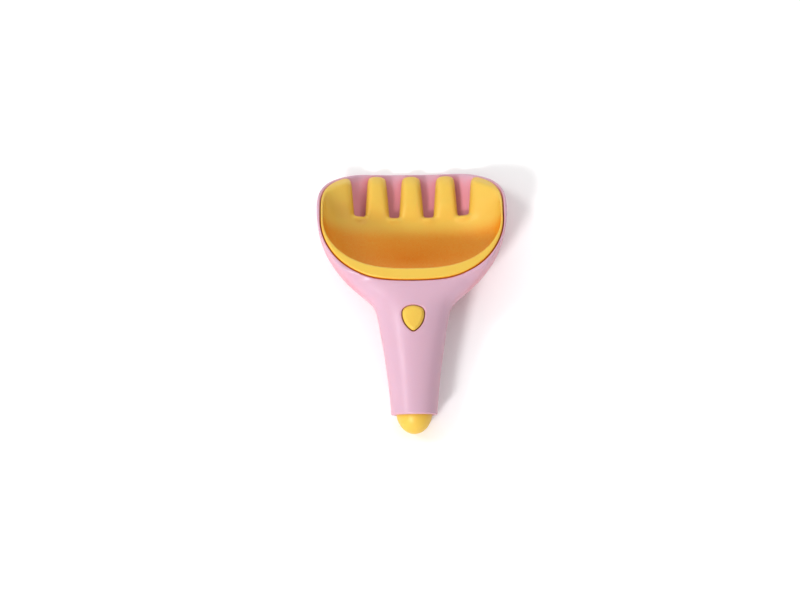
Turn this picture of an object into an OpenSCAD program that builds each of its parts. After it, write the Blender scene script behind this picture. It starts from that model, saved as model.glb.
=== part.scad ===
// Sand rake that nests in its own shovel.
// The shovel is one moulding: an open-fronted scoop and a hollow sleeve handle.
// The rake lines the scoop, and its stem runs down the sleeve to a domed knob.
// +Y points to the lip, +Z is up, and Z = 0 is the surface that it rests on.

/* [Overall] */
// Length from the lip to the tip of the knob
total_len = 176; // [172:1:180]
// Width across the scoop
scoop_w = 116; // [113:1:119]
// Height of the rim over the back half of the scoop
rim_h = 41.6; // [41.2:0.2:42.2]

/* [Shovel] */
// Wall of the scoop at its sides
shell_wall = 2.1; // [1.8:0.1:2.4]
// Thickness of the scoop's floor
shell_floor = 2.5; // [2.2:0.1:2.8]
// Outer radius of the sleeve at its open end
sleeve_end_r = 14; // [13.8:0.1:14.2]
// Half width of the handle where it starts to flare into the scoop
neck_half_w = 22; // [21.6:0.1:22.6]
// Rise of the handle towards the scoop, in degrees
handle_rise = 10.5; // [10.2:0.1:10.8]
// Slant of the sleeve's open end, in degrees: its top reaches further back
end_slant = 8; // [7:0.5:10]

/* [Rake] */
// Free play between the rake and the shovel
play = 0.35; // [0.3:0.05:0.4]
// Wall of the rake's bowl at its sides
rake_wall = 1.6; // [1.4:0.1:2]
// Thickness of the rake's floor and tines
rake_floor = 6; // [5.6:0.1:6.4]
// Width of the rim band at the handle side
band_w = 7.6; // [7:0.2:8.2]
// Length of the slots between the tines
slot_len = 31.2; // [30:0.2:32.4]
// Distance between neighbouring slots
slot_pitch = 21.1; // [20.5:0.1:21.5]
// Width of a slot's top at its root
slot_root_w = 6.6; // [6.2:0.1:7]
// Width of a slot's top at the lip
slot_tip_w = 11.2; // [10.6:0.1:11.6]
// Lean of each slot wall, from its top to its bottom
slot_lean = 1.1; // [0.8:0.1:1.3]

/* [Stem and knob] */
// Outer radius of the hollow stem
stem_r = 11; // [10.8:0.1:11.1]
// Wall of the stem
stem_wall = 2; // [1.8:0.1:2.2]
// Length of the knob that shows past the sleeve
knob_out = 11.5; // [11:0.1:12]
// Half length of the knob's oval, along the sleeve
knob_long = 14; // [13.5:0.1:14.5]

/* [Latch] */
// Width of the shield-shaped button
button_w = 13.3; // [13:0.1:13.6]
// Length of the shield-shaped button
button_len = 15.1; // [14.6:0.1:15.6]
// Distance of the button's middle behind the origin
button_back = 20.4; // [19.6:0.2:21.4]
// Gap round the button
button_gap = 0.45; // [0.4:0.05:0.5]
// Length of the springy tongue from its root to the button's middle
tongue_len = 42; // [40:1:44]

/* [Hidden] */
pink = [0.93, 0.75, 0.83];
yellow = [0.97, 0.79, 0.35];

// Places along Y
lip_y = total_len / 2;
knob_reach = norm([knob_long * cos(handle_rise), stem_r * sin(handle_rise)]);
knob_centre_u = -(total_len / 2 - knob_reach) / cos(handle_rise);
sleeve_end_u = knob_centre_u - (knob_long - knob_out);
sleeve_end_y = sleeve_end_u * cos(handle_rise);
scoop_mid_y = 53.1;
bowl_mid_y = 42.8;
floor_back_y = 20.6;
neck_y = -15.4;
flare_y = -9.6;
flare_soft = 2.1;
flare_power = 2.24;
handle_power = 1.43;

// The sleeve's axis crosses Y = 0 at this height, and dips by the handle's rise
end_drop = 0.4;
axis_z0 = sleeve_end_r / cos(handle_rise) - end_drop - sleeve_end_y * tan(handle_rise);

// The scoop's trough: a flat strip, then quarter ovals up to upright walls
trough_flat = 11;
trough_turn_z = 32;
trough_power = 2;
plan_across = 2.63;
plan_along = 2.04;
foot_cut = 0.4;
above = 62;

// The rake's outside, a gap inside the shovel's cavity
cavity_half_w = scoop_w / 2 - shell_wall;
rake_half_w = cavity_half_w - play;
rake_z = shell_floor + play;
rake_back_y = 0.35;
rake_back_floor_y = 24.6;

// The bowl inside the rake
bowl_half_w = rake_half_w - rake_wall;
bowl_z = rake_z + rake_floor;
bowl_back_y = rake_back_y + band_w;
bowl_back_floor_y = 27.6;

// Stem and latch, measured along the sleeve's axis
bore_r = stem_r + play;
stem_in_r = stem_r - stem_wall;
stem_front_u = 5;
stem_end_u = sleeve_end_u + 3;
spigot_len = 7;
socket_play = 0.1;
button_u = -button_back / cos(handle_rise);
tongue_root_u = button_u - tongue_len;
tongue_tip_u = button_u + button_len / 2 + 1;
tongue_half_w = 5.4;
button_top_r = sleeve_end_r + 0.9;

// Finer steps here give smoother walls
section_steps = 40;
plan_steps = 26;
height_steps = 11;

function clamp(v, low, high) = min(max(v, low), high);
function mix(a, b, t) = a + (b - a) * t;
function ease(t) = let (c = clamp(t, 0, 1)) c * c * (3 - 2 * c);
function soft_min(a, b, k) = min(a, b) - pow(max(k - abs(a - b), 0), 2) / (4 * k);
function bulge(s, power) = sign(s) * pow(abs(s), 2 / power);

// Height of the sleeve's axis
function axis_z(y) = axis_z0 + y * tan(handle_rise);

// Half width of the whole shovel in plan: a handle that flares into a rounded scoop
function handle_half(y) =
    let (t = max((y - sleeve_end_y) / (neck_y - sleeve_end_y), 0))
    sleeve_end_r + (neck_half_w - sleeve_end_r) * pow(t, handle_power);
function flare(y) =
    let (run = flare_soft * ln(1 + exp((y - flare_y) / flare_soft)))
    1 - pow(1 - clamp(run / (scoop_mid_y - flare_y), 0, 1), flare_power);
function body_half(y) = mix(handle_half(min(y, scoop_mid_y)), scoop_w / 2, flare(y));

// Underside: the handle's belly runs into the back of the scoop
function handle_belly(y) = axis_z(y) - sleeve_end_r / cos(handle_rise);
function scoop_belly(y) = 30 * (1 - sqrt(max(1 - pow(clamp((floor_back_y - y) / 36, 0, 1), 2), 0)));
function body_belly(y) = soft_min(handle_belly(y), scoop_belly(y), 6) - foot_cut * ease((y - neck_y + 6) / 30);

// Upper side: the handle's crown, and past it walls that run up beyond the rim
function wall_rise(y) = ease((y - neck_y - 16) / 18);
function body_crown(y) = axis_z(y) + sleeve_end_r / cos(handle_rise) + 16 * wall_rise(y);
function crown_power(y) = 2 + 0.6 * ease((y - neck_y + 6) / 22) + 3.4 * wall_rise(y);
function widest_z(y) = mix(axis_z(min(y, neck_y + 24)), trough_turn_z, ease((y - neck_y) / 40));
function belly_flat(y) = trough_flat * ease((y - neck_y - 4) / 35);

// Height of the rim: level at the back, then a smooth fall to the blunt lip
rim_fall_y = 18.6;
rim_run = lip_y + 1.8 - rim_fall_y;
rim_power = 1.15;
rim_steps = 16;
rim_proud = 0.4;
function rim_z(y) = rim_h * pow(1 - pow((y - rim_fall_y) / rim_run, 2), 1 / rim_power);

function body_section(y) = [
    for (i = [0:section_steps - 1])
        let (a = 360 * i / section_steps, c = cos(a), s = sin(a), half = body_half(y))
        s >= 0
            ? [half * bulge(c, crown_power(y)), y,
               widest_z(y) + (body_crown(y) - widest_z(y)) * bulge(s, crown_power(y))]
            : [belly_flat(y) * clamp(c * 4, -1, 1) + (half - belly_flat(y)) * bulge(c, trough_power), y,
               widest_z(y) + (widest_z(y) - body_belly(y)) * bulge(s, trough_power)]
];

// Skin over a stack of rings with equal numbers of points, closed by its end rings
module loft(rings) {
    count = len(rings[0]);
    last = len(rings) - 1;
    points = [for (ring = rings) for (p = ring) p];
    walls = [
        for (r = [0:last - 1]) for (i = [0:count - 1])
            let (j = (i + 1) % count)
            each [[r * count + i, (r + 1) * count + j, (r + 1) * count + i],
                  [r * count + i, r * count + j, (r + 1) * count + j]]
    ];
    ends = [[for (i = [count - 1:-1:0]) i], [for (i = [0:count - 1]) last * count + i]];
    polyhedron(points, concat(ends, walls), convexity = 8);
}

// Outer form of the shovel, longer than needed at both ends
body_stations = concat(
    [for (y = [sleeve_end_y - 6:7:neck_y - 8]) y],
    [for (y = [neck_y - 4:3:30]) y],
    [for (y = [36:9:lip_y + 9]) y]
);
module shovel_form() {
    loft([for (y = body_stations) body_section(y)]);
}

// A trough that is rounded at its back and open at its front, as rings of equal height
module trough(half_w, flat_half_w, floor_z, back_top_y, back_floor_y) {
    rings = [
        for (i = [0:height_steps + 1])
            let (
                t = min(90 * i / height_steps, 90),
                s = bulge(sin(t), trough_power),
                z = i > height_steps
                    ? above
                    : trough_turn_z - (trough_turn_z - floor_z) * bulge(cos(t), trough_power),
                a = flat_half_w + (half_w - flat_half_w) * s,
                b = bowl_mid_y - mix(back_floor_y, back_top_y, s)
            )
            concat(
                [[a, lip_y + 10, z]],
                [for (k = [0:plan_steps])
                    let (q = 180 * k / plan_steps)
                    [a * bulge(cos(q), plan_across), bowl_mid_y - b * bulge(sin(q), plan_along), z]],
                [[-a, lip_y + 10, z]]
            )
    ];
    loft(rings);
}

// Everything over the rim and in front of the lip
module over_rim(lift) {
    reach = lip_y + 20;
    fall = [
        for (i = [0:rim_steps])
            let (y = rim_fall_y + (lip_y - rim_fall_y) * sin(90 * i / rim_steps))
            [y, rim_z(y) + lift]
    ];
    rotate([90, 0, 90])
        linear_extrude(height = scoop_w + 20, center = true)
            polygon(concat([[-reach, above + 20], [-reach, rim_h + lift]], fall,
                           [[lip_y, -9], [reach, -9], [reach, above + 20]]));
}

// Turns a part drawn along +Y, with its up side at +Z, onto the sleeve's axis
module on_axis() {
    translate([0, 0, axis_z0]) rotate([handle_rise, 0, 0]) children();
}

// Round bar on the axis between two places
module rod(r, from_u, to_u) {
    translate([0, from_u, 0]) rotate([-90, 0, 0]) cylinder(r = r, h = to_u - from_u, $fn = 96);
}

// Shield outline: a gentle arch towards the scoop, sides that close to a blunt point
module shield(grow) {
    side_r = 11.5;
    side_v = button_len / 2 - 5.6;
    arch_r = 9.2;
    side_shift = side_r - button_w / 2;
    corner_r = 1.7;
    offset(r = corner_r + grow, $fn = 24)
        offset(delta = -corner_r)
            intersection() {
                translate([0, button_len / 2 - arch_r]) circle(r = arch_r, $fn = 64);
                intersection_for(side = [-1, 1])
                    translate([side * side_shift, side_v])
                        circle(r = side_r, $fn = 64);
            }
}

// Slot between two tines, with a squarish root and sides that open to the lip
module slot_outline(lean) {
    root_r = 1.4;
    root_y = lip_y - slot_len;
    over = 6;
    half_root = slot_root_w / 2 - lean;
    half_tip = slot_tip_w / 2 - lean;
    offset(r = root_r, $fn = 24)
        offset(delta = -root_r)
            polygon([[-half_root, root_y], [half_root, root_y], [half_tip, lip_y], [half_tip, lip_y + over],
                     [-half_tip, lip_y + over], [-half_tip, lip_y]]);
}

// Room between the tines: leaning slot walls, and tips with rounded corners
module tine_gaps() {
    places = [for (n = [-1.5, -0.5, 0.5, 1.5]) n * slot_pitch];
    lean_top = bowl_z + 2;
    skin = 0.01;
    tip_r = 3.2;
    for (x = places)
        translate([x, 0, 0])
            hull() {
                translate([0, 0, -1]) linear_extrude(height = rake_z + 1) slot_outline(slot_lean);
                translate([0, 0, lean_top]) linear_extrude(height = skin) slot_outline(0);
            }
    translate([0, 0, -1])
        linear_extrude(height = above)
            offset(r = -tip_r, $fn = 32)
                offset(delta = tip_r) {
                    for (x = places)
                        translate([x, 0]) slot_outline(slot_lean);
                    translate([-scoop_w, lip_y - 0.3]) square([2 * scoop_w, 20]);
                }
}

// Everything over the three middle tines' noses, which bend down to the lip
module over_noses() {
    bend_y = lip_y - 22;
    reach = 22.5;
    top_z = bowl_z + 1.8;
    tip_z = 2.6;
    steps = 10;
    bend = [
        for (i = [0:steps])
            let (t = 0.98 * sin(90 * i / steps))
            [bend_y + reach * t, tip_z + (top_z - tip_z) * sqrt(1 - t * t)]
    ];
    rotate([90, 0, 90])
        linear_extrude(height = 3 * slot_pitch, center = true)
            polygon(concat([[bend_y, above]], bend, [[lip_y + 10, 0], [lip_y + 10, above]]));
}

module shovel_shell() {
    color(pink)
        difference() {
            shovel_form();
            over_rim(0);
            trough(cavity_half_w, trough_flat, shell_floor, rake_back_y - play, rake_back_floor_y - play);
            translate([0, 0, -25]) cube([300, 400, 50], center = true);
            on_axis() {
                rod(bore_r, sleeve_end_u - 12, stem_front_u + 4);
                translate([0, sleeve_end_u, 0])
                    rotate([end_slant, 0, 0])
                        translate([0, -20, 0]) cube([80, 40, 120], center = true);
                translate([0, button_u, stem_in_r]) linear_extrude(height = 20) shield(button_gap);
            }
        }
}

module rake_head() {
    color(yellow)
        difference() {
            trough(rake_half_w, trough_flat, rake_z, rake_back_y, rake_back_floor_y);
            trough(bowl_half_w, trough_flat - 1, bowl_z, bowl_back_y, bowl_back_floor_y);
            over_rim(rim_proud);
            tine_gaps();
            over_noses();
            on_axis() rod(stem_r + socket_play, -20, stem_front_u);
        }
}

module rake_stem() {
    slot_half_w = tongue_half_w + 0.5;
    well_half_w = button_w / 2 + 0.6;
    well_back_u = button_u - button_len / 2 - 1;
    slot_front_u = tongue_tip_u + 0.8;
    color(yellow)
        on_axis()
            difference() {
                rod(stem_r, stem_end_u, stem_front_u);
                rod(stem_in_r, stem_end_u - 1, stem_front_u + 1);
                translate([-slot_half_w, tongue_root_u, 0])
                    cube([2 * slot_half_w, slot_front_u - tongue_root_u, stem_r + 1]);
                translate([-well_half_w, well_back_u, 0])
                    cube([2 * well_half_w, slot_front_u - well_back_u, stem_r + 1]);
            }
}

module end_knob() {
    spigot_r = stem_in_r - 0.05;
    shoulder = stem_end_u - knob_centre_u;
    color(yellow)
        on_axis()
            translate([0, knob_centre_u, 0])
                rotate([-90, 0, 0])
                    rotate_extrude($fn = 96) {
                        intersection() {
                            scale([stem_r, knob_long]) circle(r = 1, $fn = 128);
                            translate([0, -knob_long]) square([stem_r, knob_long]);
                        }
                        square([stem_r, shoulder]);
                        square([spigot_r, shoulder + spigot_len]);
                    }
}

module latch_tongue() {
    tongue_thick = stem_wall - 0.2;
    button_crown_r = 32;
    button_base = stem_r - 1.7;
    color(yellow)
        on_axis() {
            intersection() {
                difference() {
                    rod(stem_r, tongue_root_u, tongue_tip_u);
                    rod(stem_r - tongue_thick, tongue_root_u - 1, tongue_tip_u + 1);
                }
                translate([-tongue_half_w, tongue_root_u, 0])
                    cube([2 * tongue_half_w, tongue_tip_u - tongue_root_u, stem_r + 1]);
            }
            intersection() {
                translate([0, button_u, button_base]) linear_extrude(height = 20) shield(0);
                translate([0, 0, button_top_r - button_crown_r])
                    rod(button_crown_r, button_u - button_len, button_u + button_len);
            }
        }
}

shovel_shell();
rake_head();
rake_stem();
end_knob();
latch_tongue();
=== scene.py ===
# Sand rake nested in its shovel, lying on its back on a white table.
import math

import bpy
import numpy as np
from mathutils import Euler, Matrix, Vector


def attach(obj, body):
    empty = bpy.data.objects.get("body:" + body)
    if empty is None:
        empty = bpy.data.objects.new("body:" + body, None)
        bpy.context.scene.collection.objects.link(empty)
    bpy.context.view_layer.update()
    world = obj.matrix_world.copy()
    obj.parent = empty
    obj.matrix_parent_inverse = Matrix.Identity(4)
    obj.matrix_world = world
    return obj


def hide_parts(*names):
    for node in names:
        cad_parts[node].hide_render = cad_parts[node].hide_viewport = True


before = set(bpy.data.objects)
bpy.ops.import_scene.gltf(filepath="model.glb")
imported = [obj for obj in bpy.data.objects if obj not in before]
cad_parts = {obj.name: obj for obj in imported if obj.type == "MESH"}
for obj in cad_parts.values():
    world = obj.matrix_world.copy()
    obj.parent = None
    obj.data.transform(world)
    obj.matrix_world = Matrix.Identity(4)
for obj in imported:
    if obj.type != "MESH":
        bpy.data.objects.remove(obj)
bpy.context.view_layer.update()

# Sizes are in millimetres and are turned into metres where a mesh is made
MM = 0.001

# Shovel
total_len = 176.0
scoop_w = 116.0
rim_h = 41.6
shell_wall = 2.1
shell_floor = 2.5
sleeve_end_r = 14.0
sleeve_sink = 0.4
neck_half_w = 22.0
handle_rise = math.radians(10.5)
end_slant = math.radians(8)

# Rake
play = 0.35
rake_wall = 1.6
rake_floor = 6.0
band_w = 7.6
rake_back_y = 0.35
rake_back_floor_y = 24.6
bowl_back_floor_y = 27.6
slot_len = 31.2
slot_pitch = 21.1
slot_root_w = 6.6
slot_tip_w = 11.2
slot_lean = 1.1
slot_lean_over_floor = 2.0

# Stem and knob
stem_r = 11.0
stem_wall = 2.0
stem_front_u = 5.0
socket_play = 0.1
knob_out = 11.5
knob_long = 14.0
collar_inside = 3.0
spigot_len = 7.0
spigot_play = 0.05

# Latch tongue and its button
tongue_len = 42.0
tongue_half_w = 5.4
tongue_thick = 1.8
tongue_past_button = 1.0
tongue_side_gap = 0.5
tongue_tip_gap = 0.8
button_w = 13.3
button_len = 15.1
button_back = 20.4
button_proud = 0.9
button_sink = 1.7
button_crown_r = 32.0
button_side_gap = 0.6
button_back_gap = 1.0
bevel_w = 1.5
bevel_drop = 1.2
window_gap = 0.32
window_back = 0.13

# The button's outline: its two long sides, the arch at its front, and the corners between them
shield_side_r = 12.8
shield_arch_r = 10.2
shield_corner_r = 1.4
shield_shoulder = 4.6

# Tines: their crown, the bend at their tips, and the raised web below each slot
tine_crown = 2.7
crown_lead = 6
crown_run = 14
tip_drop = 5.4
tip_lead = 15
tip_run = 16
tip_power = 1.5
tip_trim = 0.3
web_h = 1.4
web_back = 2.8
web_spread_across = 12
web_spread_along = 5
slot_spread_end = 1.1

# Rounds that the mould leaves on edges and in corners. The rim is crisper in the middle of its back.
rim_round = 1.3
rim_crisp_by = 1.1
rim_crisp_half_w = 15
rim_crisp_y = 4
rim_crisp_run = 6
lip_round = 1.3
trough_round = 1.1
sleeve_round = 0.8
window_round = 1.0
rake_round = 1.4
slot_corner_round = 1.7
slot_edge_round = 4.2
tine_tip_round = 6.0
socket_round = 0.5
tongue_round = 0.5
bevel_round = 0.3
button_round = 0.4
latch_blend = 0.6
knob_round = 0.3
stem_round = 0.25

# Outline of the shovel from above
neck_y = -15.4
flare_y = -9.6
flare_soft = 2.1
flare_power = 2.24
handle_power = 1.43
scoop_mid_y = 53.1

# How the round handle opens into the scoop, in distances from the neck
wall_start = 16
wall_run = 18
wall_extra_h = 16
wall_square = 3.4
shoulder_lead = 6
shoulder_run = 22
shoulder_square = 0.6
turn_hold = 24
turn_run = 40
flat_start = 4
flat_run = 35

# The shovel's underside, from the handle down to the flat that it lies on
floor_back_y = 20.6
heel_run = 36
heel_h = 30
heel_blend = 6
foot_cut = 0.4
foot_lead = 6
foot_run = 30

# The rim, which falls from the back of the scoop to the lip
rim_fall_y = 18.6
rim_past_lip = 1.8
rim_power = 1.15
rim_proud = 0.4

# The trough shape that the shovel's cavity, the rake and its bowl share
bowl_mid_y = 42.8
trough_flat = 11.0
bowl_flat = 10.0
trough_turn_z = 32.0
trough_power = 2.0
plan_across = 2.63
plan_along = 2.04

# Sizes and places worked out from those above. A name in _u is a place along the sleeve's axis.
RISE_COS = math.cos(handle_rise)
RISE_SIN = math.sin(handle_rise)
RISE_TAN = math.tan(handle_rise)
lip_y = total_len / 2
knob_reach = math.hypot(knob_long * RISE_COS, stem_r * RISE_SIN)
knob_centre_u = -(total_len / 2 - knob_reach) / RISE_COS
sleeve_end_u = knob_centre_u - (knob_long - knob_out)
sleeve_end_y = sleeve_end_u * RISE_COS
axis_z0 = sleeve_end_r / RISE_COS - sleeve_sink - sleeve_end_y * RISE_TAN
rim_run = lip_y + rim_past_lip - rim_fall_y
cavity_half_w = scoop_w / 2 - shell_wall
rake_half_w = cavity_half_w - play
rake_z = shell_floor + play
bowl_half_w = rake_half_w - rake_wall
bowl_z = rake_z + rake_floor
bowl_back_y = rake_back_y + band_w
lean_top_z = bowl_z + slot_lean_over_floor
bore_r = stem_r + play
stem_in_r = stem_r - stem_wall
stem_end_u = sleeve_end_u + collar_inside
spigot_r = stem_in_r - spigot_play
button_u = -button_back / RISE_COS
tongue_root_u = button_u - tongue_len
tongue_tip_u = button_u + button_len / 2 + tongue_past_button
button_top_r = sleeve_end_r + button_proud
button_base_r = stem_r - button_sink
slot_root_y = lip_y - slot_len
slot_places = [n * slot_pitch for n in (-1.5, -0.5, 0.5, 1.5)]


# Shaping rules, written for whole arrays of points
def mix(a, b, t):
    return a + (b - a) * t


def ease(t):
    """Runs from 0 to 1 as t does, with a level start and end."""
    c = np.clip(t, 0, 1)
    return c * c * (3 - 2 * c)


def soft_max(a, b, k):
    """The greater of two fields, with a round where they cross. k is how wide the round is."""
    h = np.maximum(k - np.abs(a - b), 0)
    return np.maximum(a, b) + h * h / (4 * k)


def soft_min(a, b, k):
    return -soft_max(-a, -b, k)


def slopes(field, x, y, z, f, step):
    """How much a field changes over a small step along each axis."""
    return field(x + step, y, z) - f, field(x, y + step, z) - f, field(x, y, z + step) - f


def in_mm(field, x, y, z, step=0.05):
    """A field turned into rough millimetres, by its own steepness."""
    f = field(x, y, z)
    gx, gy, gz = slopes(field, x, y, z, f, step)
    return f * step / np.maximum(np.sqrt(gx * gx + gy * gy + gz * gz), 1e-5)


def axis_z(y):
    """Height of the sleeve's axis."""
    return axis_z0 + y * RISE_TAN


def on_axis(y, z):
    """Distance along the sleeve's axis, and height over it."""
    rise = z - axis_z0
    return y * RISE_COS + rise * RISE_SIN, rise * RISE_COS - y * RISE_SIN


# The forms that the pieces are cut from. Each field is below zero inside its form.
def handle_half(y):
    t = np.maximum((y - sleeve_end_y) / (neck_y - sleeve_end_y), 0)
    return sleeve_end_r + (neck_half_w - sleeve_end_r) * t ** handle_power


def body_half(y):
    """Half the shovel's width: the handle's, flared out to the scoop's."""
    run = flare_soft * np.logaddexp(0, (y - flare_y) / flare_soft)
    flare = 1 - (1 - np.clip(run / (scoop_mid_y - flare_y), 0, 1)) ** flare_power
    return mix(handle_half(np.minimum(y, scoop_mid_y)), scoop_w / 2, flare)


def body_belly(y):
    """Height of the shovel's underside along its middle."""
    handle = axis_z(y) - sleeve_end_r / RISE_COS
    bend = np.clip((floor_back_y - y) / heel_run, 0, 1)
    scoop = heel_h * (1 - np.sqrt(np.maximum(1 - bend ** 2, 0)))
    return soft_min(handle, scoop, heel_blend) - foot_cut * ease((y - neck_y + foot_lead) / foot_run)


def body_field(x, y, z):
    """The shovel's outer form, before its rim is cut: round at the handle, a trough at the scoop."""
    half = body_half(y)
    along = y - neck_y
    wall_rise = ease((along - wall_start) / wall_run)
    widest = mix(axis_z(np.minimum(y, neck_y + turn_hold)), trough_turn_z, ease(along / turn_run))
    crown = axis_z(y) + sleeve_end_r / RISE_COS + wall_extra_h * wall_rise
    shoulder = ease((along + shoulder_lead) / shoulder_run)
    power_up = 2 + shoulder_square * shoulder + wall_square * wall_rise
    flat = trough_flat * ease((along - flat_start) / flat_run)
    side = np.abs(x)
    rise = np.maximum(z - widest, 0) / (crown - widest)
    drop = np.maximum(widest - z, 0) / (widest - body_belly(y))
    up = ((side / half) ** power_up + rise ** power_up) ** (1 / power_up)
    out = np.maximum(side - flat, 0) / (half - flat)
    down = (out ** trough_power + drop ** trough_power) ** (1 / trough_power)
    return np.where(z >= widest, up, down) - 1


def trough_field(x, y, z, half_w, flat, floor_z, back_top, back_floor):
    """A trough that is rounded at its back and open at its front."""
    side = np.abs(x)
    back = np.maximum(bowl_mid_y - y, 0)
    back_0 = bowl_mid_y - back_floor
    back_1 = bowl_mid_y - back_top
    # Newton's steps find s, the share of the full outline at which one of its kind passes the point
    s = np.maximum(np.maximum((side - flat) / (half_w - flat), (back - back_0) / (back_1 - back_0)), 0)
    for _ in range(5):
        a = flat + (half_w - flat) * s
        b = back_0 + (back_1 - back_0) * s
        ta = (side / a) ** plan_across
        tb = (back / b) ** plan_along
        slope = plan_across * ta * (half_w - flat) / a + plan_along * tb * (back_1 - back_0) / b
        s = np.maximum(s + (ta + tb - 1) / np.maximum(slope, 1e-6), 0)
    drop = np.maximum(trough_turn_z - z, 0) / (trough_turn_z - floor_z)
    return (s ** trough_power + drop ** trough_power) ** (1 / trough_power) - 1


def cavity_field(x, y, z):
    """The shovel's cavity, which the rake fills with a little play."""
    return trough_field(x, y, z, cavity_half_w, trough_flat, shell_floor,
                        rake_back_y - play, rake_back_floor_y - play)


def rake_block_field(x, y, z):
    return trough_field(x, y, z, rake_half_w, trough_flat, rake_z, rake_back_y, rake_back_floor_y)


def tine_swell(x, y):
    """How far the bowl's floor is raised: crowned tines that bend down at their tips."""
    along = ease((y - slot_root_y + crown_lead) / crown_run)
    from_tine = np.abs((x + slot_pitch / 2) % slot_pitch - slot_pitch / 2)
    crown = tine_crown * (1 - (from_tine / (slot_pitch / 2)) ** 2)
    tip = tip_drop * ease((y - lip_y + tip_lead) / tip_run) ** tip_power
    web_y = (y - slot_root_y + web_back) ** 2 / web_spread_along
    web = sum(np.exp(-(x - place) ** 2 / web_spread_across - web_y) for place in slot_places)
    return along * crown - tip + web_h * web


def bowl_field(x, y, z):
    """The bowl's hollow, over a floor that swells along each tine."""
    return trough_field(x, y, z - tine_swell(x, y), bowl_half_w, bowl_flat, bowl_z,
                        bowl_back_y, bowl_back_floor_y)


def shovel_rim_field(x, y, z):
    """All that lies under the shovel's rim, which falls to the lip."""
    run = np.maximum(y - rim_fall_y, 0) / rim_run
    height = np.maximum(z, 0) / rim_h
    return run ** 2 + height ** rim_power - 1


def rake_rim_field(x, y, z):
    """The same for the rake, whose rim stands a little proud."""
    return shovel_rim_field(x, y, z - rim_proud)


def shield_field(x, v):
    """Outline of the latch button: an arch and two sides that close to a point."""
    side_v = button_len / 2 - shield_shoulder
    reach = shield_side_r - button_w / 2
    left = np.hypot(x - reach, v - side_v) - shield_side_r
    right = np.hypot(x + reach, v - side_v) - shield_side_r
    top = np.hypot(x, v - (button_len / 2 - shield_arch_r)) - shield_arch_r
    return soft_max(soft_max(left, right, shield_corner_r), top, shield_corner_r)


# The three moulded pieces, each as one field
def shovel_field(x, y, z):
    """Outer form, rim, lip and foot, less the cavity, the sleeve's bore, the window and the slanted end."""
    u, n = on_axis(y, z)
    crisp = rim_crisp_by * np.exp(-(x / rim_crisp_half_w) ** 4) * ease((rim_crisp_y - y) / rim_crisp_run)
    f = soft_max(in_mm(body_field, x, y, z), in_mm(shovel_rim_field, x, y, z), rim_round - crisp)
    f = soft_max(soft_max(f, y - lip_y, lip_round), -z, foot_cut)
    f = soft_max(f, -in_mm(cavity_field, x, y, z), trough_round)
    f = soft_max(f, bore_r - np.hypot(x, n), sleeve_round)
    window = np.maximum(shield_field(x, u - button_u + window_back) - window_gap, stem_in_r - n)
    f = soft_max(f, -window, window_round)
    end = (sleeve_end_u - u) * math.cos(end_slant) - n * math.sin(end_slant)
    return soft_max(f, end, sleeve_round)


def rake_field(x, y, z):
    """Outer form, rim and lip, less the bowl, the slots between the tines and the stem's socket."""
    u, n = on_axis(y, z)
    f = soft_max(in_mm(rake_block_field, x, y, z), in_mm(rake_rim_field, x, y, z), rake_round)
    f = soft_max(f, y - lip_y, rake_round)
    f = soft_max(f, -in_mm(bowl_field, x, y, z), rake_round)
    lean = slot_lean * np.clip((lean_top_z - z) / lean_top_z, 0, 1)
    share = np.clip((y - slot_root_y) / slot_len, 0, slot_spread_end)
    half_w = mix(slot_root_w, slot_tip_w, share) / 2 - lean
    for place in slot_places:
        slot = soft_max(np.abs(x - place) - half_w, slot_root_y - y, slot_corner_round)
        f = soft_max(f, soft_max(-slot, y - lip_y + tip_trim, tine_tip_round), slot_edge_round)
    socket = np.maximum(np.hypot(x, n) - stem_r - socket_play, u - stem_front_u)
    return soft_max(f, -socket, socket_round)


def latch_field(x, y, z):
    """The springy tongue, and on it the shield button with its bevelled border."""
    u, n = on_axis(y, z)
    middle_r = stem_r - tongue_thick / 2
    shell = np.abs(np.hypot(x, n) - middle_r) - tongue_thick / 2
    tongue = soft_max(shell, np.abs(x) - tongue_half_w, tongue_round)
    tongue = soft_max(tongue, np.maximum(tongue_root_u - u, u - tongue_tip_u), tongue_round)
    tongue = np.maximum(tongue, -n)
    outline = shield_field(x, u - button_u)
    crown = np.hypot(x, n - (button_top_r - button_crown_r)) - button_crown_r
    slope = bevel_drop / bevel_w
    bevel = (crown + bevel_drop + slope * outline) / math.hypot(1, slope)
    button = soft_max(soft_max(crown, bevel, bevel_round), outline, button_round)
    button = np.maximum(button, button_base_r - n)
    return soft_min(tongue, button, latch_blend)


# From a field to a mesh
def project(field, p, cell, rounds, step=0.02):
    """Moves points onto the field's zero level, by half a cell at most each time."""
    for _ in range(rounds):
        x, y, z = p.T
        f = field(x, y, z)
        g = np.stack(slopes(field, x, y, z, f, step), axis=1) / step
        move = -f[:, None] * g / np.maximum((g * g).sum(axis=1), 1e-4)[:, None]
        size = np.linalg.norm(move, axis=1)
        p = p + move * np.minimum(1, 0.5 * cell / np.maximum(size, 1e-9))[:, None]
    return p, g / np.maximum(np.linalg.norm(g, axis=1), 1e-9)[:, None]


def sampled(field, grid, counts, slab=16):
    """The field at every point of the grid, worked out a few layers at a time to save memory."""
    f = np.empty(counts)
    for i in range(0, counts[0], slab):
        f[i:i + slab] = field(*(axis[i:i + slab] for axis in grid))
    return f


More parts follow.
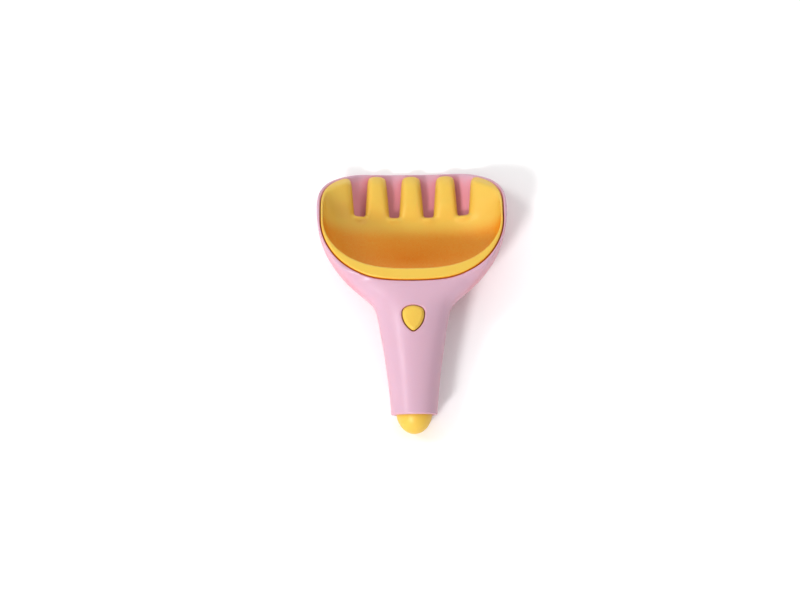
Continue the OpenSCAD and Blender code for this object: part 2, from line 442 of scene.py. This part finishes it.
def skin_of(field, low, high, cell):
    """Points and quads of the field's zero level: one point in each cell that it crosses."""
    counts = np.ceil((np.array(high) - np.array(low)) / cell).astype(int) + 1
    axes = [low[a] + cell * np.arange(counts[a]) for a in range(3)]
    grid = np.meshgrid(*axes, indexing="ij")
    f = sampled(field, grid, counts)
    inside = f < 0
    cells = counts - 1
    total = np.zeros((*cells, 3))
    hits = np.zeros(cells)
    crossings = []

    # Each crossed edge of the grid adds its crossing point to the four cells round it
    for a in range(3):
        lead = [slice(None)] * 3
        trail = [slice(None)] * 3
        lead[a] = slice(0, -1)
        trail[a] = slice(1, None)
        lead, trail = tuple(lead), tuple(trail)
        cross = inside[lead] != inside[trail]
        gap = np.where(cross, f[lead] - f[trail], 1)
        place = [grid[b][lead] + (cell * f[lead] / gap if b == a else 0) for b in range(3)]
        crossings.append((cross, inside[lead]))
        first, second = [b for b in range(3) if b != a]
        for d0, d1 in ((0, 0), (0, 1), (1, 0), (1, 1)):
            part = [slice(None)] * 3
            part[first] = slice(d0, cells[first] + d0)
            part[second] = slice(d1, cells[second] + d1)
            part = tuple(part)
            here = cross[part]
            hits += here
            for b in range(3):
                total[..., b] += np.where(here, place[b][part], 0)
    mixed = hits > 0
    number = np.full(cells, -1)
    number[mixed] = np.arange(mixed.sum())
    points = total[mixed] / hits[mixed][:, None]

    # Each crossed edge also gives one quad, between the points of those four cells
    quads = []
    for a, (cross, starts_inside) in enumerate(crossings):
        b, c = (a + 1) % 3, (a + 2) % 3
        at = np.argwhere(cross)
        at = at[(at[:, b] > 0) & (at[:, c] > 0) & (at[:, b] < cells[b]) & (at[:, c] < cells[c])]
        ring = []
        for db, dc in ((-1, -1), (0, -1), (0, 0), (-1, 0)):
            corner = at.copy()
            corner[:, b] += db
            corner[:, c] += dc
            ring.append(number[tuple(corner.T)])
        ring = np.stack(ring, axis=1)
        flip = ~starts_inside[tuple(at.T)]
        ring[flip] = ring[flip][:, ::-1]
        quads.append(ring)
    return points, np.concatenate(quads)


def relax(field, points, quads, cell, rounds):
    """Spreads the points evenly over the surface."""
    pairs = np.concatenate([quads[:, [0, 1]], quads[:, [1, 2]], quads[:, [2, 3]], quads[:, [3, 0]]])
    both = np.concatenate([pairs, pairs[:, ::-1]])
    weight = np.bincount(both[:, 0], minlength=len(points))
    points, normal = project(field, points, cell, rounds=3)
    for _ in range(rounds):
        sums = [np.bincount(both[:, 0], points[both[:, 1], a], minlength=len(points)) for a in range(3)]
        move = np.stack(sums, axis=1) / weight[:, None] - points
        move -= (move * normal).sum(axis=1)[:, None] * normal
        points, normal = project(field, points + 0.5 * move, cell, rounds=1)
    return project(field, points, cell, rounds=2)[0]


def moulded(name, field, low, high, cell):
    """Mesh of a moulded piece whose walls, blends and rounded edges are all one field.

    low and high are the corners of a box a little larger than the piece.
    """
    cell = cell * 1.0
    points, quads = skin_of(field, low, high, cell)
    points = relax(field, points, quads, cell, rounds=4)
    mesh = bpy.data.meshes.new(name)
    mesh.from_pydata((points * MM).tolist(), [], quads.tolist())
    mesh.validate()
    mesh.update()
    piece = bpy.data.objects.new(name, mesh)
    bpy.context.scene.collection.objects.link(piece)
    mesh.polygons.foreach_set("use_smooth", [True] * len(mesh.polygons))
    return piece


# Pieces made with ordinary mesh tools
def only(piece):
    """Selects one object alone and makes it active."""
    bpy.ops.object.select_all(action="DESELECT")
    piece.select_set(True)
    bpy.context.view_layer.objects.active = piece


def settle(piece):
    """Puts the object's place into its mesh."""
    only(piece)
    bpy.ops.object.transform_apply(location=True, rotation=True, scale=True)


def apply_all(piece):
    """Applies the piece's modifiers, in their order."""
    only(piece)
    for modifier in list(piece.modifiers):
        bpy.ops.object.modifier_apply(modifier=modifier.name)


def lay_on_axis(piece):
    """A piece drawn along +Y with its up side at +Z goes onto the sleeve's axis."""
    piece.location = (0, 0, axis_z0 * MM)
    piece.rotation_euler = Euler((handle_rise, 0, 0))
    settle(piece)


def soften_edges(piece, width):
    """Small rounds on the edges, as a mould leaves them, and smooth shading between."""
    rounds = piece.modifiers.new("rounds", "BEVEL")
    rounds.width = width * MM
    rounds.segments = 3
    rounds.limit_method = "ANGLE"
    rounds.angle_limit = math.radians(40)
    apply_all(piece)
    bpy.ops.object.shade_smooth_by_angle(angle=math.radians(35))


def cut_box(piece, low, high):
    """Cuts a box, given by two corners, out of the piece."""
    bpy.ops.object.select_all(action="DESELECT")
    middle = [(a + b) / 2 * MM for a, b in zip(low, high)]
    bpy.ops.mesh.primitive_cube_add(size=1, location=middle)
    cutter = bpy.context.active_object
    cutter.scale = [(b - a) * MM for a, b in zip(low, high)]
    settle(cutter)
    only(piece)
    cut = piece.modifiers.new("cut", "BOOLEAN")
    cut.object = cutter
    cut.solver = "EXACT"
    bpy.ops.object.modifier_apply(modifier=cut.name)
    only(cutter)
    bpy.ops.object.delete()


def hollow_stem():
    """The rake's tube, with the slot that its springy tongue stands in."""
    length = stem_front_u - stem_end_u
    bpy.ops.object.select_all(action="DESELECT")
    bpy.ops.mesh.primitive_cylinder_add(vertices=128, radius=stem_r * MM, depth=length * MM,
                                        end_fill_type="NOTHING",
                                        location=(0, (stem_front_u + stem_end_u) / 2 * MM, 0),
                                        rotation=(math.radians(90), 0, 0))
    stem = bpy.context.active_object
    stem.name = "hollow_stem"
    settle(stem)
    wall = stem.modifiers.new("wall", "SOLIDIFY")
    wall.thickness = stem_wall * MM
    wall.offset = -1
    apply_all(stem)

    # A narrow slot for the tongue, and a wider well round the button
    slot_half_w = tongue_half_w + tongue_side_gap
    well_half_w = button_w / 2 + button_side_gap
    well_back_u = button_u - button_len / 2 - button_back_gap
    slot_front_u = tongue_tip_u + tongue_tip_gap
    over_stem = stem_r + 1
    cut_box(stem, (-slot_half_w, tongue_root_u, 0), (slot_half_w, slot_front_u, over_stem))
    cut_box(stem, (-well_half_w, well_back_u, 0), (well_half_w, slot_front_u, over_stem))
    soften_edges(stem, stem_round)
    lay_on_axis(stem)
    return stem


def end_knob():
    """The rake's end knob: half an oval, a collar, and the spigot that plugs the stem."""
    centre = (0, knob_centre_u * MM, 0)
    bpy.ops.object.select_all(action="DESELECT")
    bpy.ops.mesh.primitive_uv_sphere_add(segments=96, ring_count=64, radius=stem_r * MM, location=centre,
                                         rotation=(math.radians(90), 0, 0))
    knob = bpy.context.active_object
    knob.name = "oval_end_knob"
    settle(knob)

    # The front half comes off, and the back half is drawn out
    bpy.ops.object.mode_set(mode="EDIT")
    bpy.ops.mesh.select_all(action="SELECT")
    bpy.ops.mesh.bisect(plane_co=centre, plane_no=(0, 1, 0), clear_outer=True)
    bpy.ops.mesh.select_all(action="SELECT")
    bpy.ops.transform.resize(value=(1, knob_long / stem_r, 1), center_override=centre)

    # The open edge is extruded into the collar, the step at the stem's end, and the spigot
    bpy.ops.mesh.select_all(action="DESELECT")
    bpy.ops.mesh.select_non_manifold()
    collar = (stem_end_u - knob_centre_u) * MM
    bpy.ops.mesh.extrude_region_move(TRANSFORM_OT_translate={"value": (0, collar, 0)})
    bpy.ops.mesh.extrude_region_move()
    inward = spigot_r / stem_r
    bpy.ops.transform.resize(value=(inward, 1, inward), center_override=(0, stem_end_u * MM, 0))
    bpy.ops.mesh.extrude_region_move(TRANSFORM_OT_translate={"value": (0, spigot_len * MM, 0)})
    bpy.ops.mesh.edge_face_add()
    bpy.ops.mesh.select_all(action="SELECT")
    bpy.ops.mesh.normals_make_consistent(inside=False)
    bpy.ops.object.mode_set(mode="OBJECT")
    soften_edges(knob, knob_round)
    lay_on_axis(knob)
    return knob


# Small helpers for node trees
def value(node, name, number):
    node.inputs[name].default_value = number


def add_socket(tree, name, way, kind, default=None):
    socket = tree.interface.new_socket(name=name, in_out=way, socket_type=kind)
    if default is not None:
        socket.default_value = default


def noise(tree, place, scale, detail, distortion=0.0):
    node = tree.nodes.new("ShaderNodeTexNoise")
    value(node, "Scale", scale)
    value(node, "Detail", detail)
    value(node, "Distortion", distortion)
    tree.links.new(place, node.inputs["Vector"])
    return node.outputs["Fac"]


def remap(tree, source, span, result, kind="LINEAR"):
    """As the source runs over the first span, the result runs over the second."""
    node = tree.nodes.new("ShaderNodeMapRange")
    node.interpolation_type = kind
    value(node, "From Min", span[0])
    value(node, "From Max", span[1])
    value(node, "To Min", result[0])
    value(node, "To Max", result[1])
    tree.links.new(source, node.inputs["Value"])
    return node.outputs["Result"]


def maths(tree, operation, first, second):
    node = tree.nodes.new("ShaderNodeMath")
    node.operation = operation
    tree.links.new(first, node.inputs[0])
    tree.links.new(second, node.inputs[1])
    return node.outputs["Value"]


# Materials. The painted shade tint starts where ambient occlusion finds a place less open than the first
# share, and is full at the second.
painted_shade_starts = 0.9
painted_shade_full = 0.76
painted_shade_reach = 0.07
painted_shade_bowl_ends_y = slot_root_y - 17
tines_start_y = slot_root_y - 5
painted_shade_scoop_ends_y = 2.0
handle_starts_y = -6.0
spark_height = 0.00006


def finish_and_painted_shade():
    """Satin moulded plastic: faint clouding, painted shade in hollows, soft rubs and a fine spark texture.
    """
    tree = bpy.data.node_groups.new("finish_and_painted_shade", "ShaderNodeTree")
    add_socket(tree, "Colour", "INPUT", "NodeSocketColor")
    add_socket(tree, "Shade and cloud colour", "INPUT", "NodeSocketColor")
    add_socket(tree, "Roughness", "INPUT", "NodeSocketFloat", 0.4)
    add_socket(tree, "Texture height", "INPUT", "NodeSocketFloat", 0.2)
    add_socket(tree, "Painted shade at the tines", "INPUT", "NodeSocketFloat", 1.0)
    add_socket(tree, "Painted shade on the handle", "INPUT", "NodeSocketFloat", 1.0)
    add_socket(tree, "Colour", "OUTPUT", "NodeSocketColor")
    add_socket(tree, "Roughness", "OUTPUT", "NodeSocketFloat")
    add_socket(tree, "Normal", "OUTPUT", "NodeSocketVector")
    nodes, links = tree.nodes, tree.links
    entry = nodes.new("NodeGroupInput")
    leave = nodes.new("NodeGroupOutput")
    place = nodes.new("ShaderNodeTexCoord").outputs["Object"]

    clouds = remap(tree, noise(tree, place, scale=45.0, detail=3.0), (0.35, 0.7), (0.0, 0.06))

    # Painted shade: where ambient occlusion finds a place closed in, the colour is tinted to the shade
    # colour, standing in for shade and for light passed from wall to wall
    hollow = nodes.new("ShaderNodeAmbientOcclusion")
    hollow.samples = 8
    value(hollow, "Distance", painted_shade_reach)
    painted_shade_share = remap(tree, hollow.outputs["AO"], (painted_shade_starts, painted_shade_full), (0.0, 1.0))
    along = nodes.new("ShaderNodeSeparateXYZ")
    links.new(place, along.inputs["Vector"])

    # The painted shade fades out in its own measure towards the tines and towards the handle
    ends = (("Painted shade at the tines", painted_shade_bowl_ends_y, tines_start_y),
            ("Painted shade on the handle", painted_shade_scoop_ends_y, handle_starts_y))
    for end, full_y, faded_y in ends:
        fade = remap(tree, along.outputs["Y"], (full_y * MM, faded_y * MM), (1.0, 1.0), "SMOOTHSTEP")
        links.new(entry.outputs[end], fade.node.inputs["To Max"])
        painted_shade_share = maths(tree, "MULTIPLY", painted_shade_share, fade)
    # depth is the mix share towards the shade colour: random clouding plus the painted shade
    depth = maths(tree, "ADD", clouds, painted_shade_share)
    depth.node.use_clamp = True
    tint = nodes.new("ShaderNodeMix")
    tint.data_type = "RGBA"
    links.new(depth, tint.inputs["Factor"])
    links.new(entry.outputs["Colour"], tint.inputs["A"])
    links.new(entry.outputs["Shade and cloud colour"], tint.inputs["B"])
    links.new(tint.outputs["Result"], leave.inputs["Colour"])

    rubs = noise(tree, place, scale=160.0, detail=4.0, distortion=0.4)
    worn = remap(tree, rubs, (0.3, 0.7), (-0.05, 0.06))
    links.new(maths(tree, "ADD", entry.outputs["Roughness"], worn), leave.inputs["Roughness"])

    bump = nodes.new("ShaderNodeBump")
    value(bump, "Distance", spark_height)
    links.new(entry.outputs["Texture height"], bump.inputs["Strength"])
    links.new(noise(tree, place, scale=1900.0, detail=2.0), bump.inputs["Height"])
    links.new(bump.outputs["Normal"], leave.inputs["Normal"])
    return tree


FINISH_AND_PAINTED_SHADE = finish_and_painted_shade()


def plastic(name, colour, shade_and_cloud_colour, tines_painted_shade, handle_painted_shade, roughness, texture, subsurface):
    material = bpy.data.materials.new(name)
    material.use_nodes = True
    nodes, links = material.node_tree.nodes, material.node_tree.links
    skin = nodes.new("ShaderNodeGroup")
    skin.node_tree = FINISH_AND_PAINTED_SHADE
    value(skin, "Colour", (*colour, 1))
    value(skin, "Shade and cloud colour", (*shade_and_cloud_colour, 1))
    value(skin, "Painted shade at the tines", tines_painted_shade)
    value(skin, "Painted shade on the handle", handle_painted_shade)
    value(skin, "Roughness", roughness)
    value(skin, "Texture height", texture)
    shader = nodes["Principled BSDF"]
    links.new(skin.outputs["Colour"], shader.inputs["Base Color"])
    links.new(skin.outputs["Roughness"], shader.inputs["Roughness"])
    links.new(skin.outputs["Normal"], shader.inputs["Normal"])
    value(shader, "IOR", 1.46)
    value(shader, "Subsurface Weight", subsurface)
    value(shader, "Subsurface Radius", (1.0, 0.5, 0.3))
    value(shader, "Subsurface Scale", 0.002)
    return material


# Each plastic has a base colour and a darker, more saturated colour. The darker one is used for the painted
# shade in hollows and for faint clouding.
PINK = plastic("pale_pink_plastic", colour=(0.60, 0.410, 0.495), shade_and_cloud_colour=(0.68, 0.30, 0.36),
               tines_painted_shade=1.0, handle_painted_shade=0.4, roughness=0.33, texture=0.25, subsurface=0.1)
YELLOW = plastic("warm_yellow_plastic", colour=(0.715, 0.51, 0.105), shade_and_cloud_colour=(0.71, 0.262, 0.002),
                 tines_painted_shade=0.1, handle_painted_shade=0.1, roughness=0.38, texture=0.22, subsurface=0.2)


# Camera, lights and table
def aim(thing, way):
    """Turns a camera or a light to look along a direction."""
    thing.rotation_euler = way.to_track_quat("-Z", "Y").to_euler()


def place_camera(target, azimuth, elevation, distance, width):
    """A camera that sees the given width at its target."""
    camera_data = bpy.data.cameras.new("camera")
    camera_data.sensor_width = 36.0
    camera_data.angle = 2 * math.atan(width / 2 / distance)
    camera_data.clip_end = 20.0
    camera = bpy.data.objects.new("camera", camera_data)
    bpy.context.scene.collection.objects.link(camera)
    a, e = math.radians(azimuth), math.radians(elevation)
    away = Vector((math.sin(a) * math.cos(e), -math.cos(a) * math.cos(e), math.sin(e)))
    camera.location = target + away * distance
    aim(camera, target - camera.location)
    bpy.context.scene.camera = camera


def new_light(name, kind, strength):
    data = bpy.data.lights.new(name, kind)
    data.energy = strength
    light = bpy.data.objects.new(name, data)
    bpy.context.scene.collection.objects.link(light)
    return light


def panel(name, side, angle, strength):
    """A far, soft light from one side. The angle says how large it looks from the table."""
    light = new_light(name, "SUN", strength)
    light.data.angle = math.radians(angle)
    aim(light, -Vector(side))


def card(name, place, target, width, radius, strength):
    """A small near light that throws a soft-edged patch onto its target. The width is in degrees."""
    light = new_light(name, "SPOT", strength)
    light.data.spot_size = math.radians(width)
    light.data.spot_blend = 1.0
    light.data.shadow_soft_size = radius
    light.location = place
    aim(light, Vector(target) - light.location)


def studio_tent():
    """A white tent round the table, dimmer overhead, and darker low down on the right."""
    world = bpy.data.worlds.new("studio")
    bpy.context.scene.world = world
    world.use_nodes = True
    tree = world.node_tree
    tent = tree.nodes["Background"]
    value(tent, "Color", (1, 1, 1, 1))
    around = tree.nodes.new("ShaderNodeTexCoord")
    sides = tree.nodes.new("ShaderNodeSeparateXYZ")
    tree.links.new(around.outputs["Generated"], sides.inputs["Vector"])
    fade = remap(tree, sides.outputs["Z"], (0.1, 0.9), (1.02, 0.65), "SMOOTHERSTEP")
    dim_right = remap(tree, sides.outputs["X"], (0.0, 0.8), (0.0, 0.85), "SMOOTHSTEP")
    dim_low = remap(tree, sides.outputs["Z"], (0.15, 0.6), (1.0, 0.0))
    dimming = maths(tree, "MULTIPLY", dim_right, dim_low)
    tree.links.new(maths(tree, "SUBTRACT", fade, dimming), tent.inputs["Strength"])


def white_table(size, under_toy):
    bpy.ops.object.select_all(action="DESELECT")
    bpy.ops.mesh.primitive_plane_add(size=size, location=(0, 0, -under_toy))
    table = bpy.context.active_object
    table.name = "table"
    paint = bpy.data.materials.new("white_table")
    paint.use_nodes = True
    shader = paint.node_tree.nodes["Principled BSDF"]
    value(shader, "Base Color", (0.97, 0.97, 0.97, 1))
    value(shader, "Roughness", 0.7)
    table.data.materials.append(paint)


# The photograph's view: a long lens from the handle's side, and the object right of the middle
place_camera(target=Vector((-0.0077, 0.0046, 0.0)), azimuth=-0.7, elevation=67.0, distance=2.6, width=0.4896)
panel("key_light", side=(-0.37, -0.70, 0.57), angle=11.0, strength=1.7)
panel("left_panel", side=(-0.64, 0.10, 0.74), angle=18.0, strength=0.58)
panel("right_reflector", side=(0.66, 0.1, 0.74), angle=60.0, strength=0.25)
panel("back_reflector", side=(0.10, 0.85, 0.48), angle=50.0, strength=0.42)

# Some light comes back onto the bowl's left wall
card("bowl_card", place=(0.45, 0.0, 0.60), target=(-0.048, 0.048, 0.02), width=7, radius=0.04, strength=3.6)
studio_tent()
bpy.context.scene.view_settings.view_transform = "Standard"
bpy.context.scene.view_settings.gamma = 0.8
white_table(size=4.0, under_toy=0.0002)


# Pieces
def dress(piece, material, body, node):
    """Gives a piece its material, the body that it moves with, and the node that it stands for."""
    piece.data.materials.clear()
    piece.data.materials.append(material)
    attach(piece, body)
    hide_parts(node)


shovel = moulded("shovel", shovel_field, low=(-60.4, -83.2, -2.1), high=(60.4, 90.7, 44.2), cell=0.8)
dress(shovel, PINK, "shovel", "shovel_shell")

rake = moulded("rake_bowl_and_tines", rake_field, low=(-58.3, -2.2, 0.6), high=(58.3, 90.2, 44.2), cell=0.75)
dress(rake, YELLOW, "rake", "rake_head")

dress(hollow_stem(), YELLOW, "rake", "rake_stem")
dress(end_knob(), YELLOW, "rake", "end_knob")

latch = moulded("latch_tongue_and_button", latch_field, low=(-7.9, -66.0, 20.0), high=(7.9, -8.5, 43.0),
                cell=0.28)
dress(latch, YELLOW, "latch", "latch_tongue")
